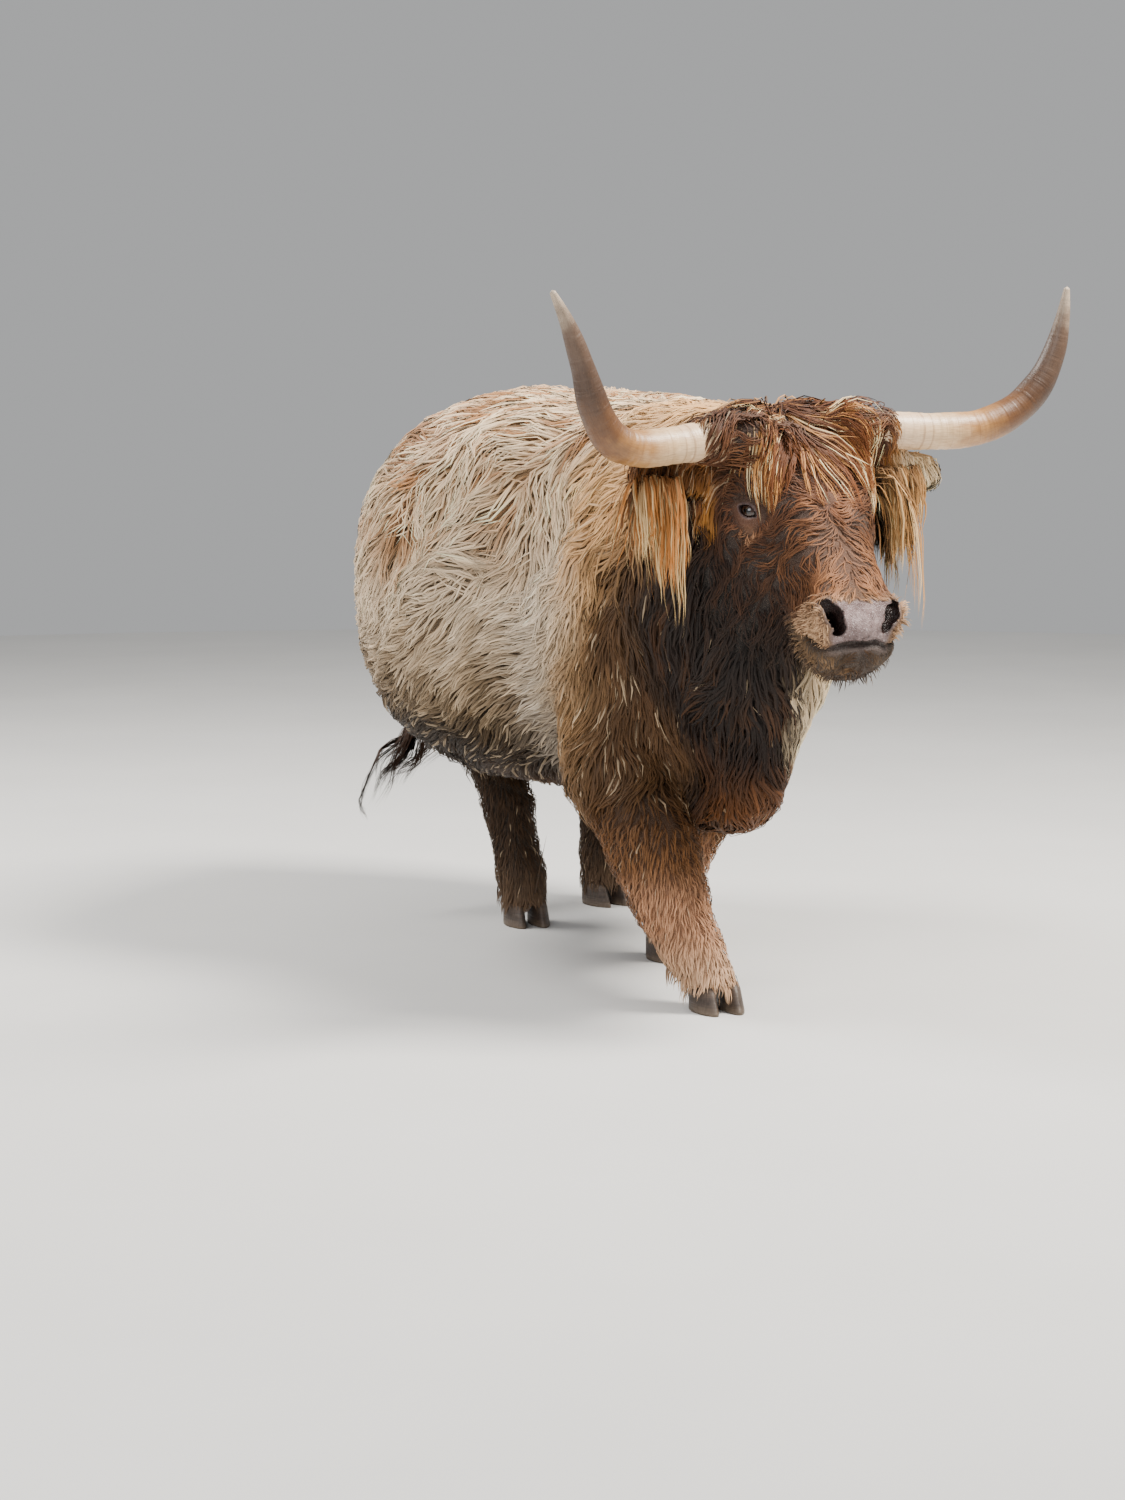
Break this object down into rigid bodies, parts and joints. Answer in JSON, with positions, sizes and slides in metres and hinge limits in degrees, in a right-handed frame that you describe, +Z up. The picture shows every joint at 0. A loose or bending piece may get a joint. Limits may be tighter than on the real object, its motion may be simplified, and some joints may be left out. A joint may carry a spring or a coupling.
{
  "type": "highland cow",
  "caption": "Highland cow standing with one forefoot a step ahead: long wavy coat, hanging forelock and ear fringes, wide horns swept up; a still life-size model.",
  "frame": {"origin": "middle of the footprint of the whole model, at the level of the soles", "axes": "-Y the way the animal faces, +X its own left side, +Z up"},
  "size_m": [1.0534, 1.8054, 1.3186],
  "materials": {
    "coat_back": "matte",
    "coat_dark": "matte",
    "coat_face": "matte",
    "coat_leg": "matte",
    "coat_side": "matte",
    "ear_hair": "matte",
    "eye": "gloss",
    "hoof": "satin",
    "horn": "satin",
    "nose_skin": "satin",
    "udder_skin": "satin"
  },
  "bodies": {
    "root": {"barrel": "coat_back", "brisket": "coat_dark", "cannon_fore_left": "coat_leg", "cannon_fore_right": "coat_leg", "cannon_hind_left": "coat_leg", "cannon_hind_right": "coat_leg", "chest": "coat_side", "chest_floor": "coat_dark", "claw_fore_left_a": "hoof", "claw_fore_left_b": "hoof", "claw_fore_right_a": "hoof", "claw_fore_right_b": "hoof", "claw_hind_left_a": "hoof", "claw_hind_left_b": "hoof", "claw_hind_right_a": "hoof", "claw_hind_right_b": "hoof", "ear_left": "ear_hair", "ear_right": "ear_hair", "eye_left": "eye", "eye_right": "eye", "forearm_left": "coat_leg", "forearm_right": "coat_leg", "head": "coat_face", "hindquarters": "coat_back", "hock_hind_left": "coat_leg", "hock_hind_right": "coat_leg", "horn_left": "horn", "horn_right": "horn", "knee_fore_left": "coat_leg", "knee_fore_right": "coat_leg", "lower_jaw": "coat_face", "muzzle": "coat_face", "neck": "coat_dark", "nose": "nose_skin", "tail_dock": "coat_back", "tail_shaft": "coat_dark", "tail_switch": "coat_dark", "thigh_left": "coat_side", "thigh_right": "coat_side", "udder": "udder_skin"}
  },
  "joints": []
}
